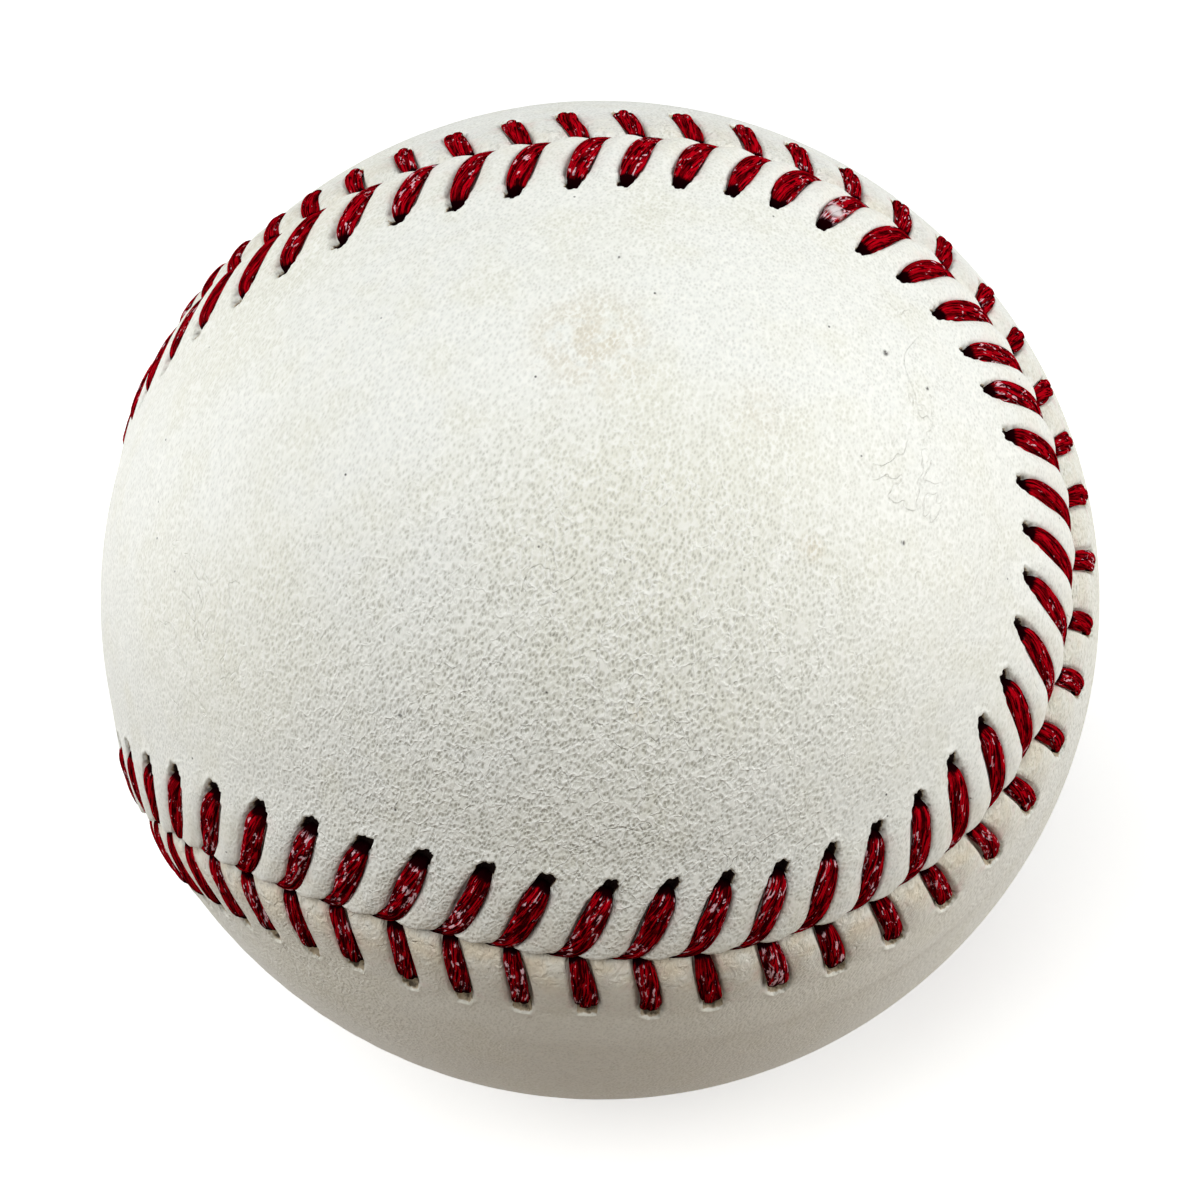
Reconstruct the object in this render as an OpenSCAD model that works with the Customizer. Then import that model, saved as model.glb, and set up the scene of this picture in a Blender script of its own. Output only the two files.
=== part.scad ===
// A hand-sewn baseball taken apart layer by layer: a cork and rubber centre, four windings
// of yarn, two figure-eight panels of leather and the waxed thread that joins them.
// The ball is centred on the origin. The X axis runs through the narrow necks of both
// panels, and the seam crosses the Y and Z axes. All lengths are in millimetres.

/* [Centre] */
// Diameter of the cork and rubber core
core_d = 20.6; // [16:0.2:26]
// Wall of the two black rubber half shells round the core
half_shell_wall = 3.95; // [2:0.05:6]
// Thickness of the red gasket ring between the two half shells
gasket_t = 1; // [0.5:0.1:3]
// Wall of the moulded red rubber shell round both halves
red_shell_wall = 2.3; // [1:0.1:4]

/* [Windings] */
// Thickness of the first winding, of four-ply grey wool
grey_inner_wall = 14.65; // [10:0.05:18]
// Thickness of the second winding, of three-ply white wool
white_wall = 1.7; // [1:0.1:3]
// Thickness of the third winding, of three-ply grey wool
grey_outer_wall = 2.2; // [1:0.1:4]
// Thickness of the last winding, of fine cotton
cotton_wall = 0.35; // [0.2:0.05:1]
// Clear space between one layer and the next
layer_gap = 0.05; // [0.03:0.01:0.1]

/* [Cover] */
// Thickness of the leather
leather_t = 1.2; // [1:0.05:2]
// Width of each panel at its neck, measured over the ball
neck_width = 29; // [24:0.5:34]

/* [Stitches] */
// Number of stitches, each with one arm on either panel
stitch_count = 108; // [96:2:112]
// Distance along the seam from the Y axis to the first hole in the front panel
stitch_start = 2.95; // [0:0.05:3.8]
// Distance from the seam to the row of holes in the front panel
front_row = 5.5; // [4:0.1:6.5]
// Distance from the seam to the row of holes in the back panel
back_row = 5.2; // [4:0.1:6.5]
// How far along the seam a front arm runs on, from its hole to where it dives in the seam
front_lead = 2.6; // [2.4:0.1:3]
// How far the back panel's holes lie ahead of the front panel's along the seam
row_shift = 0.65; // [0.4:0.05:0.8]

/* [Thread] */
// Width of the waxed thread where it lies flattened on the leather
arm_w = 1.5; // [1:0.05:1.7]
// Thickness of the thread on the leather
arm_t = 0.7; // [0.4:0.05:0.9]
// Width of the thread where it is drawn tight in a hole, in the seam and in its bed
tight_w = 0.9; // [0.7:0.05:1.1]
// Thickness of the thread where it is drawn tight
tight_t = 0.36; // [0.3:0.01:0.45]
// Clear space between the leather and the thread on it
thread_lift = 0.1; // [0.08:0.01:0.15]
// Clear space on each side of the thread in a hole
hole_play = 0.1; // [0.08:0.01:0.2]
// Clear space on each side of the thread in the seam
seam_play = 0.07; // [0.06:0.01:0.15]
// Clear space above and below the thread in its bed under the leather
bed_play = 0.04; // [0.03:0.01:0.06]
// Clear space between the two threads where they cross in the seam
strand_gap = 0.1; // [0.06:0.01:0.2]

/* [Hidden] */

// Facets of a full circle
$fn = 96;

// How far a cutting solid runs past what it cuts
overrun = 1;

// Inner and outer radius of each layer, from the centre outwards
core_r = core_d / 2;
half_shell_in_r = core_r + layer_gap;
half_shell_r = half_shell_in_r + half_shell_wall;
red_shell_in_r = half_shell_r + layer_gap;
red_shell_r = red_shell_in_r + red_shell_wall;
grey_inner_in_r = red_shell_r + layer_gap;
grey_inner_r = grey_inner_in_r + grey_inner_wall;
white_in_r = grey_inner_r + layer_gap;
white_r = white_in_r + white_wall;
grey_outer_in_r = white_r + layer_gap;
grey_outer_r = grey_outer_in_r + grey_outer_wall;
cotton_in_r = grey_outer_r + layer_gap;
cotton_r = cotton_in_r + cotton_wall;
leather_in_r = cotton_r + layer_gap;
ball_r = leather_in_r + leather_t;

// The seam
// A distance over the leather takes up an angle at the ball's centre. Seen from there the seam
// swings from side to side of the Y-Z plane, a neck's half width short of the X axis, while it
// turns once round that axis. The second and fourth turn angles draw the swings out into round
// lobes, and the share fills the lobes. A place on the seam is an angle u, and the seam closes
// after two turns of u.
function over_ball(d) = d / ball_r * 180 / PI;
axis_angle = 90;
swing_angle = axis_angle - over_ball(neck_width / 2);
lobe_fill_share = 0.016;
second_turn_angle = 23.5;
fourth_turn_angle = 0.8;
seam_end_angle = 720;
seam_steps = 1440;
seam_step_angle = seam_end_angle / seam_steps;

function swing(u) = swing_angle * (sin(u) + lobe_fill_share * (sin(u) + sin(3 * u)));
function turn(u) = u / 2 - second_turn_angle * sin(2 * u) + fourth_turn_angle * sin(4 * u);
function unit(v) = v / norm(v);

// Direction from the ball's centre to the seam, the direction along the seam, and the
// direction aside from it, towards the front panel
function seam(u) = [-sin(swing(u)), -cos(swing(u)) * cos(turn(u)), -cos(swing(u)) * sin(turn(u))];
function along(u) = unit(seam(u + seam_step_angle) - seam(u - seam_step_angle));
function aside(u) = cross(along(u), seam(u));

// The seam's length up to each step, and the way back from a length to the seam
seam_lengths = [for (i = 0, s = 0; i <= seam_steps;
    s = s + ball_r * norm(seam((i + 1) * seam_step_angle) - seam(i * seam_step_angle)),
    i = i + 1) s];
seam_table = [for (i = [0 : seam_steps]) [seam_lengths[i], i * seam_step_angle]];
seam_length = seam_lengths[seam_steps];
pitch = seam_length / stitch_count;
function at_length(s) = lookup(s - seam_length * floor(s / seam_length), seam_table);

// Holes, seam and bed
// Each takes the drawn thread and its named play. A hole clears the thread's corners, and the
// bed is deep enough for a straight run of thread under the curved leather.
hole_d = norm([tight_w, tight_t]) + 2 * hole_play;
seam_gap = tight_t + 2 * seam_play;
widest_row = max(front_row, back_row);
bed_run = norm([widest_row, pitch - front_lead + row_shift]);
bed_sag = bed_run * bed_run / (8 * leather_in_r);
bed_depth = tight_t + bed_sag + 2 * bed_play;
bed_r = leather_in_r + bed_depth;
bed_half = widest_row + hole_d / 2 + hole_play;

// Where the two arms of a stitch start and where they dive in the seam
back_behind = tight_w + strand_gap;
function hole_at(i, side) = stitch_start + i * pitch + (side > 0 ? 0 : row_shift);
function dive_at(i, side) = hole_at(i, 1) + front_lead - (side > 0 ? 0 : back_behind);
function row_of(side) = side > 0 ? front_row : back_row;

// Panel cutters
// A cutter is a cone from the ball's centre. Its rim follows the seam at a given distance
// inside one panel, and its cap is fanned from a spine along the panel's middle, so far out
// that the flat cap stays clear of the ball.
rim_count = 216;
spine_steps = 8;
spine_end_angle = 96;
reach_share = 1.5;
cutter_r = reach_share * ball_r;
// Where a panel's neck lies on the seam, its pole, and the way from its pole to a lobe
function neck_u(side) = side > 0 ? 90 : 270;
function pole(side) = [-side, 0, 0];
function lobe_way(side) = unit([0, 1, -side]);
function reach(u, side) = let (q = sin((u - neck_u(side)) / 2)) q * abs(q);
function spine_index(u, side) = round((reach(u, side) + 1) / 2 * spine_steps);
function spine_point(k, side) = let (a = spine_end_angle * (2 * k / spine_steps - 1))
    cos(a) * pole(side) + sin(a) * lobe_way(side);
function rim_u(i) = (i % rim_count) * seam_end_angle / rim_count;
function rim_point(i, side, inset) = let (u = rim_u(i), a = over_ball(inset))
    cos(a) * seam(u) + side * sin(a) * aside(u);

module panel_cutter(side, inset) {
    rim_first = 1;
    spine_first = rim_first + rim_count;
    points = concat([[0, 0, 0]],
        [for (i = [0 : rim_count - 1]) cutter_r * rim_point(i, side, inset)],
        [for (k = [0 : spine_steps]) cutter_r * spine_point(k, side)]);
    function rim(i) = rim_first + i % rim_count;
    function spine(i) = spine_first + spine_index(rim_u(i), side);
    faces = [for (i = [0 : rim_count - 1]) each concat(
        [[0, rim(i + 1), rim(i)], [rim(i), rim(i + 1), spine(i)]],
        spine(i) == spine(i + 1) ? [] : [[rim(i + 1), spine(i + 1), spine(i)]])];
    polyhedron(points, side > 0 ? faces : [for (f = faces) [f[0], f[2], f[1]]]);
}

// A ball with its poles on the X axis, where the seam doesn't reach them
module ball(r) {
    rotate([0, 90, 0]) sphere(r);
}

// One radial stitch hole, at a length along the seam and a distance aside from it
module stitch_hole(s, d) {
    u = at_length(s);
    way = cos(over_ball(d)) * seam(u) + sin(over_ball(d)) * aside(u);
    rotate([0, acos(way.z), atan2(way.y, way.x)])
        translate([0, 0, leather_in_r - overrun])
            cylinder(d = hole_d, h = leather_t + 2 * overrun, $fn = 24);
}

// A figure-eight panel of leather, cut back at the seam, bedded for the thread under its
// edge and punched with one hole for each stitch
module leather_panel(side) {
    difference() {
        intersection() {
            ball(ball_r);
            panel_cutter(side, seam_gap / 2);
        }
        ball(leather_in_r);
        difference() {
            ball(bed_r);
            panel_cutter(side, bed_half);
        }
        for (i = [0 : stitch_count - 1]) stitch_hole(hole_at(i, side), side * row_of(side));
    }
}

// The thread
// Each needle's half of the thread goes up through a hole in one panel, over the leather to
// the seam, down between the panels and along the bed to the next hole in the other panel.
// A ring of the thread lies at a length along the seam, a distance aside and a height over the
// leather. It faces a way over the leather, given as a share along and a share aside, and climbs
// from it by an angle. The turnover keeps the thread free of twist where it turns back in a hole.
section_shares = [[1, 0], [0.55, 1], [-0.55, 1], [-1, 0], [-0.55, -1], [0.55, -1]];
arm_start_share = 0.22;
arm_end_share = 0.74;
arm_h = thread_lift + arm_t / 2;
bed_h = -leather_t + bed_play + tight_t / 2 + bed_sag;
dive_h = -leather_t / 2;
tail_share = 0.6;
// Climb of the thread at the bottom and top of a hole, and over, in and under the seam's gap
hole_bottom_angle = 135;
hole_top_angle = 45;
seam_top_angle = -45;
seam_middle_angle = -90;
seam_bottom_angle = -45;

function ring_at(s, d, h, way, climb, half_w, half_t, turnover) =
    let (u = at_length(s), a = over_ball(d),
        out = cos(a) * seam(u) + sin(a) * aside(u),
        level = way.x * along(u) + way.y * (cos(a) * aside(u) - sin(a) * seam(u)),
        wide = turnover * half_w * cross(out, level),
        thick = turnover * half_t * (cos(climb) * out - sin(climb) * level))
    [for (p = section_shares) (ball_r + h) * out + p.x * wide + p.y * thick];

function stitch_rings(i, side) =
    let (hole = hole_at(i, side), d = side * row_of(side), dive = dive_at(i, side),
        over = unit([dive - hole, -d]), across = [0, -side],
        turnover = i % 2 == 0 ? 1 : -1, w = tight_w / 2, t = tight_t / 2)
    [
        ring_at(hole, d, bed_h, over, hole_bottom_angle, w, t, turnover),
        ring_at(hole, d, arm_h, over, hole_top_angle, w, t, turnover),
        ring_at(hole + arm_start_share * (dive - hole), d * (1 - arm_start_share), arm_h, over, 0,
            arm_w / 2, arm_t / 2, turnover),
        ring_at(hole + arm_end_share * (dive - hole), d * (1 - arm_end_share), arm_h, over, 0,
            arm_w / 2, arm_t / 2, turnover),
        ring_at(dive, 0, arm_h, across, seam_top_angle, w, t, turnover),
        ring_at(dive, 0, dive_h, across, seam_middle_angle, w, t, turnover),
        ring_at(dive, 0, bed_h, across, seam_bottom_angle, w, t, turnover)
    ];

// The thread's end, hidden in the bed a share of the way to the hole it started from
function tail_ring(i, side) =
    let (dive = dive_at(i, side), next = hole_at(i + 1, -side), next_d = -side * row_of(-side))
    ring_at(dive + tail_share * (next - dive), tail_share * next_d, bed_h,
        unit([next - dive, next_d]), 0, tight_w / 2, tight_t / 2, i % 2 == 0 ? 1 : -1);

function needle_side(i, first) = i % 2 == 0 ? first : -first;

function needle_rings(first) = concat(
    [for (i = [0 : stitch_count - 1]) each stitch_rings(i, needle_side(i, first))],
    [tail_ring(stitch_count - 1, needle_side(stitch_count - 1, first))]);

module thread_half(first) {
    rings = needle_rings(first);
    n = len(section_shares);
    last = len(rings) - 1;
    function vertex(ring, k) = ring * n + k % n;
    faces = concat(
        [for (r = [0 : last - 1], k = [0 : n - 1]) each [
            [vertex(r, k), vertex(r + 1, k), vertex(r + 1, k + 1)],
            [vertex(r, k), vertex(r + 1, k + 1), vertex(r, k + 1)]]],
        [for (k = [1 : n - 2]) [vertex(0, 0), vertex(0, k), vertex(0, k + 1)]],
        [for (k = [1 : n - 2]) [vertex(last, 0), vertex(last, k + 1), vertex(last, k)]]);
    polyhedron([for (ring = rings) each ring], faces);
}

// Length of one half of the thread, from the middles of its rings
function middle(ring) = (ring[0] + ring[3]) / 2;
function path_length(rings, i = 1, sum = 0) = i >= len(rings) ? sum
    : path_length(rings, i + 1, sum + norm(middle(rings[i]) - middle(rings[i - 1])));
echo(seam_length = seam_length, pitch = pitch, ball_d = 2 * ball_r, hole_d = hole_d);
echo(first_half = path_length(needle_rings(1)), second_half = path_length(needle_rings(-1)));

// The ball, one module for each piece

// Side of a block that takes in a whole half shell
slab_w = 2 * half_shell_r + overrun;

// A ball-shaped layer between two radii
module layer(in_r, out_r) {
    difference() {
        sphere(out_r);
        sphere(in_r);
    }
}

module cork_core() {
    color("#8a6a48") sphere(core_r);
}

module rubber_half(side) {
    intersection() {
        layer(half_shell_in_r, half_shell_r);
        translate([0, 0, side * (gasket_t / 2 + layer_gap + slab_w / 2)]) cube(slab_w, center = true);
    }
}

module rubber_half_upper() {
    color("#1c1c1c") rubber_half(1);
}

module rubber_half_lower() {
    color("#1c1c1c") rubber_half(-1);
}

module gasket_ring() {
    color("#a5281f") intersection() {
        layer(half_shell_in_r, half_shell_r);
        cube([slab_w, slab_w, gasket_t], center = true);
    }
}

module red_rubber_shell() {
    color("#b3332a") layer(red_shell_in_r, red_shell_r);
}

module grey_wool_inner_winding() {
    color("#7f7f7b") layer(grey_inner_in_r, grey_inner_r);
}

module white_wool_winding() {
    color("#e6e1d3") layer(white_in_r, white_r);
}

module grey_wool_outer_winding() {
    color("#8d8c87") layer(grey_outer_in_r, grey_outer_r);
}

module cotton_finish_winding() {
    color("#f1ecdf") layer(cotton_in_r, cotton_r);
}

module leather_panel_front() {
    color("#eeeee6") leather_panel(1);
}

module leather_panel_back() {
    color("#eeeee6") leather_panel(-1);
}

module thread_first_needle() {
    color("#9c0f1d") thread_half(1);
}

module thread_second_needle() {
    color("#9c0f1d") thread_half(-1);
}

cork_core();
rubber_half_upper();
rubber_half_lower();
gasket_ring();
red_rubber_shell();
grey_wool_inner_winding();
white_wool_winding();
grey_wool_outer_winding();
cotton_finish_winding();
leather_panel_front();
leather_panel_back();
thread_first_needle();
thread_second_needle();
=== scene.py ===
"""A hand-sewn baseball: two figure-eight panels of leather, waxed thread, yarn and rubber.

The seam and the stitches follow the same curve and the same sizes as the solid model. Lengths
are in metres. A place on the cover is given by s, a length along the seam, d, a distance aside
from it, positive towards the front panel, and h, a height over the leather's plain ball.
"""
import math

import bpy
import numpy as np
from bpy.props import FloatProperty, FloatVectorProperty, IntProperty, PointerProperty
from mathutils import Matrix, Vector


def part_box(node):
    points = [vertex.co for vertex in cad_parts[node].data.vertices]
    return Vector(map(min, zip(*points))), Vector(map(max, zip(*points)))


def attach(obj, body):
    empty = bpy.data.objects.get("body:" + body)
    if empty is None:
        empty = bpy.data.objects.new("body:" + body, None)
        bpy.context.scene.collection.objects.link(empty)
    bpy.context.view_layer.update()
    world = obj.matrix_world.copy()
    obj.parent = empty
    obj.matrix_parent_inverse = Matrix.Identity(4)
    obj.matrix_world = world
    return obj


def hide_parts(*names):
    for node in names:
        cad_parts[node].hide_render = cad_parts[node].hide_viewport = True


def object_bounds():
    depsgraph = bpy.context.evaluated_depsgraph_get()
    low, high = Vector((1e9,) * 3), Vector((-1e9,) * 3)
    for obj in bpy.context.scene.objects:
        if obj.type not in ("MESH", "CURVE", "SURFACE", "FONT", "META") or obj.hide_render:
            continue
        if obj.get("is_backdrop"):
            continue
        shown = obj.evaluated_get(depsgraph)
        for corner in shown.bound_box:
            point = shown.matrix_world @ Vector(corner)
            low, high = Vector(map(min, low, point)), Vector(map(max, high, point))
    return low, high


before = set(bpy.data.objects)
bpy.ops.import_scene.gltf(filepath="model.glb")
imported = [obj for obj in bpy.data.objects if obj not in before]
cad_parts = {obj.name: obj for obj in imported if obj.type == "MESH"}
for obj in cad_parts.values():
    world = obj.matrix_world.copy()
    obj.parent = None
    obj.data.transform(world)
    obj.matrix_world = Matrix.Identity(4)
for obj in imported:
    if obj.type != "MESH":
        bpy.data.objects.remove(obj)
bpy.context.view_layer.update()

bl_info = {
    "name": "Hand-sewn Baseball",
    "version": (1, 0, 0),
    "blender": (4, 5, 0),
    "location": "View3D > Sidebar > Baseball",
    "description": "Builds and finishes a baseball's leather, thread, windings and centre",
    "category": "Object",
}

MM = 0.001
FRONT, BACK = 1, -1
PANEL_NODES = {FRONT: "leather_panel_front", BACK: "leather_panel_back"}
THREAD_NODES = {FRONT: "thread_first_needle", BACK: "thread_second_needle"}
BALL_RADIUS = -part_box(PANEL_NODES[FRONT])[0].x
LEATHER_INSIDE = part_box("cotton_finish_winding")[1].x + 0.05 * MM


def linear(hex_colour):
    """An sRGB hex colour as the linear red, green, blue and alpha that Blender works in."""
    parts = [int(hex_colour[i:i + 2], 16) / 255 for i in (1, 3, 5)]
    return [p / 12.92 if p <= 0.04045 else ((p + 0.055) / 1.055) ** 2.4 for p in parts] + [1.0]


def length(name, description, millimetres):
    """A length property, shown in the scene's own unit."""
    return FloatProperty(name=name, description=description, default=millimetres * MM,
                         min=0, unit="LENGTH")


def share(name, description, default):
    """A plain share or factor."""
    return FloatProperty(name=name, description=description, default=default, subtype="FACTOR")


def colour(name, description, hex_colour):
    """A colour property whose default is written as sRGB hex."""
    return FloatVectorProperty(name=name, description=description, subtype="COLOR", size=4,
                               min=0, max=1, default=linear(hex_colour))


class CoverSizes(bpy.types.PropertyGroup):
    """The leather cover: its seam, its rows of holes and how the thread draws it in"""
    neck_width: length("Neck width", "Width of each panel at its neck", 29)
    front_row: length("Front row", "Seam to the front panel's holes", 6.0)
    back_row: length("Back row", "Seam to the back panel's holes", 5.6)
    stitch_start: length("Stitch start", "Seam's start to the first front hole", 2.95)
    row_shift: length("Row shift", "How far back holes lie ahead of front holes", 0.65)
    hole_width: length("Hole width", "Width of a punched hole where it shows", 1.18)
    front_hole: length("Front hole", "Length of a front hole, drawn long by the thread", 1.6)
    back_hole: length("Back hole", "Length of a back hole", 1.4)
    hole_rim: length("Hole rim", "Height of the torn rim round a hole", 0.07)
    hole_depth: length("Hole depth", "How far a punched hole goes in before it is dark", 0.65)
    puff: length("Puff", "Height of the leather fingers between the stitches", 0.42)
    groove: length("Groove", "Depth of the groove that a stitch presses in the leather", 0.36)
    overhang: length("Overhang", "How far a front finger's tip reaches over the seam", 0.2)
    slip: length("Slip", "Spread of the holes from even places", 0.1)
    drift: share("Drift", "Slow change of the rows' distance, which the hand makes", 0.04)
    stitch_count: IntProperty(name="Stitches", description="Stitches round the seam",
                              default=108, min=96)


class ThreadSizes(bpy.types.PropertyGroup):
    """The waxed thread where it lies on the leather and where it is drawn tight"""
    arm_width: length("Arm width", "Width of a stitch at its widest", 1.62)
    arm_thickness: length("Arm thickness", "Thickness of a stitch", 0.8)
    tight_width: length("Tight width", "Width where the thread is drawn tight", 0.9)
    tight_thickness: length("Tight thickness", "Thickness where it is drawn tight", 0.36)
    plies: IntProperty(name="Plies", description="Yarns laid together", default=4, min=2, max=6)
    turns: share("Turns", "Turns of the plies over one arm", 0.3)
    ply_depth: share("Ply depth", "Depth of the valley between plies, as a share", 0.3)


class CoverColours(bpy.types.PropertyGroup):
    """Colours of the leather and the thread"""
    leather: colour("Leather", "Alum-tanned white hide", "#f0f2ec")
    mottle: colour("Mottle", "Duller, yellower patches of the hide", "#e9e9da")
    stain: colour("Stain", "Handling marks on the hide", "#d3c4a4")
    pore: colour("Pore", "Shade that gathers in the pores", "#aeada0")
    ridge: colour("Ridge", "Raised lines of the grain", "#f8f9f2")
    # Also painted as warm shade on the back panel along one stretch of the seam
    cream_and_warm_shade: colour("Cream", "Warmer hide beside the seam", "#ebe0c8")
    raw_edge: colour("Raw edge", "Cut leather in holes and along the seam", "#c3b295")
    # Dark specks, and also painted shade deep in the holes and in the seam's gap
    dirt_and_shade: colour("Dirt and shade", "Wax and dye deep in the holes", "#160c0a")
    dye: colour("Dye", "Thread dye rubbed into the leather", "#cf8f8c")
    # Painted shade in the groove between the thread and the leather
    groove_shade: colour("Groove shade", "Dark between the thread and the leather", "#36100e")
    thread: colour("Thread", "Waxed cotton, dyed crimson", "#c30418")
    # Dark streaks of the fibres, and also painted shade in the valleys between the plies
    thread_shade: colour("Thread shade", "Dye and wax between the fibres", "#1a0002")
    # Painted shade on the thread in a hole
    thread_hole_shade: colour("Thread deep", "Thread in the dark of a hole", "#1c0004")
    # Pale flecks painted as highlights of the wax
    thread_glint: colour("Thread glint", "Fibres and wax that wear has whitened", "#fbcdd8")


class StageSizes(bpy.types.PropertyGroup):
    """Camera, lamps and floor"""
    camera_distance: length("Camera distance", "Ball's centre to the camera", 157.6)
    lens: FloatProperty(name="Lens", description="Focal length in millimetres", default=62.06)
    lamp_distance: length("Lamp distance", "Ball's centre to each soft box", 600)
    lamp_size: length("Lamp size", "Side of each soft box", 560)
    left_level: share("Left level", "Light of the left box on white", 0.54)
    right_level: share("Right level", "Light of the right box on white", 1.04)
    front_level: share("Front level", "Light of the front box on white", 0.83)
    world_level: share("World level", "Light of the room on white", 0.02)


SETTINGS = {"ball_cover": CoverSizes, "ball_thread": ThreadSizes, "ball_colours": CoverColours,
            "ball_stage": StageSizes}


# The seam

LOBE_FILL_SHARE = 0.016
SECOND_TURN = math.radians(23.5)
FOURTH_TURN = math.radians(0.8)
SEAM_END = 4 * math.pi
SEAM_STEPS = 7200
STRAY_PASSES = 40
# How the hand's sewing strays on the side that the photograph shows: a stitch, then in
# millimetres the seam's stray aside, the front and back holes' strays along it, and how much
# farther from it the front and back holes lie
STRAYS = [(70, 0, 0, 0, 0, 0), (74, -1.3, -0.9, -0.5, 0, 0), (77, -0.4, 0.0, -0.3, 0.1, 0),
          (80, 0.85, 0.35, 0.1, 0.3, -0.2), (82, 0.7, 0.15, 0.2, 0.25, 0.0),
          (84, 0.05, -0.1, 0.4, 0.3, 0.4), (87, 0.6, -0.4, 0.3, 0.05, 0.4),
          (90, -0.25, -0.05, -0.2, 0.45, 0.15), (92, -0.7, -0.65, -1.0, 0.95, 0.0),
          (95, -1.25, -0.6, -1.1, 0.9, 0.5), (98, -1.3, 0.0, -0.9, 0.5, 0.3),
          (102, -0.4, 0.0, -0.2, 0.05, -0.3), (105, -0.55, 0.0, 0.1, 0.3, -0.2),
          (107, -0.5, 0.0, 0.8, 0.35, -0.1), (109, 0.05, 0.1, 1.0, -0.05, 0.1),
          (112, -0.55, 0.1, 1.4, 0.4, 0.0), (115, -0.4, 0.6, 1.0, -0.1, 0.0),
          (118, 0, 0, 0, 0, 0)]


def unit(vectors):
    """Vectors scaled to length one."""
    return vectors / np.linalg.norm(vectors, axis=-1, keepdims=True)


def rounded(values, passes):
    """Values in a closed row, rounded by passes of a three-point mean."""
    for _ in range(passes):
        values = (np.roll(values, 1) + 2 * values + np.roll(values, -1)) / 4
    return values


def strays(stitch, column, count):
    """One column of the table of strays at places counted in stitches, carried round the
    seam and rounded."""
    table = np.array(STRAYS).T
    even = np.arange(4 * count) / 4
    values = np.interp((even - table[0, 0]) % count, table[0] - table[0, 0], table[column])
    return np.interp(stitch, even, rounded(values, STRAY_PASSES), period=count) * MM


class Seam:
    """The seam line, and places on the cover measured from it."""

    def __init__(self, cover):
        self.radius = BALL_RADIUS
        self.swing_peak = math.pi / 2 - cover.neck_width / 2 / self.radius
        self.angles = np.linspace(0, SEAM_END, SEAM_STEPS + 1)
        ways = self.way(self.angles)
        steps = np.linalg.norm(np.diff(ways, axis=0), axis=1) * self.radius
        self.lengths = np.concatenate([[0], np.cumsum(steps)])
        self.length = self.lengths[-1]
        self.pitch = self.length / cover.stitch_count
        self.count, self.start = cover.stitch_count, cover.stitch_start

    def way(self, u):
        """Unit way from the ball's centre: a swing from side to side of the Y-Z plane, a sine
        with a little of its third harmonic, while a turn goes once round the X axis, pushed
        on and back by its second and fourth harmonics."""
        swing = self.swing_peak * (np.sin(u) + LOBE_FILL_SHARE * (np.sin(u) + np.sin(3 * u)))
        turn = u / 2 - SECOND_TURN * np.sin(2 * u) + FOURTH_TURN * np.sin(4 * u)
        return np.stack([-np.sin(swing), -np.cos(swing) * np.cos(turn),
                         -np.cos(swing) * np.sin(turn)], axis=-1)

    def angle_at(self, s):
        """The seam's own angle at a length along it."""
        return np.interp(np.mod(s, self.length), self.lengths, self.angles)

    def axes_at(self, s, d):
        """Outward, along and aside unit ways at s and d: the seam's own three ways, turned
        about the along way by d and the seam's stray over the radius."""
        u = self.angle_at(s)
        step = SEAM_END / SEAM_STEPS
        out = self.way(u)
        along = unit(self.way(u + step) - self.way(u - step))
        aside = np.cross(along, out)
        stray = strays((s - self.start) / self.pitch, 1, self.count)
        a = ((d + stray) / self.radius)[..., None]
        return np.cos(a) * out + np.sin(a) * aside, along, np.cos(a) * aside - np.sin(a) * out

    def place(self, s, d, h):
        """Points at s, d and h: the outward way times the radius and height."""
        return self.axes_at(s, d)[0] * (self.radius + h)[..., None]


# The stitches

SEWER_SEED = 11
DRIFT_START = 57 * MM
# The spread and the limit of the hand's errors in an arm's reach and width, as shares, and in
# its height and bow
HAND = {"reach": (0.018, 0.04), "width": (0.045, 0.1), "lift": (0.03 * MM, 0.06 * MM),
        "bow": (0.07 * MM, 0.14 * MM)}
# A front arm leaves its hole nearly straight and curls along the seam at its end. Lengths are
# how far it runs on along the seam, straight and in the curl.
FRONT_LEAD = 1.95 * MM
FRONT_CURL = 0.8 * MM
CURL_SHARE = 0.12
BACK_LEAD = 0.95 * MM
BACK_BOW = 0.12 * MM
# An arm's width at stops from the seam to its hole: a spindle on the front, a band on the back
WIDTH_SHARES = {
    FRONT: [(0, 0.4), (0.08, 0.66), (0.25, 0.88), (0.5, 1), (0.75, 0.95), (0.92, 0.72),
            (1, 0.56)],
    BACK: [(0, 0.72), (0.15, 0.82), (0.5, 0.88), (0.85, 0.94), (0.97, 0.84), (1, 0.7)]}


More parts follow.
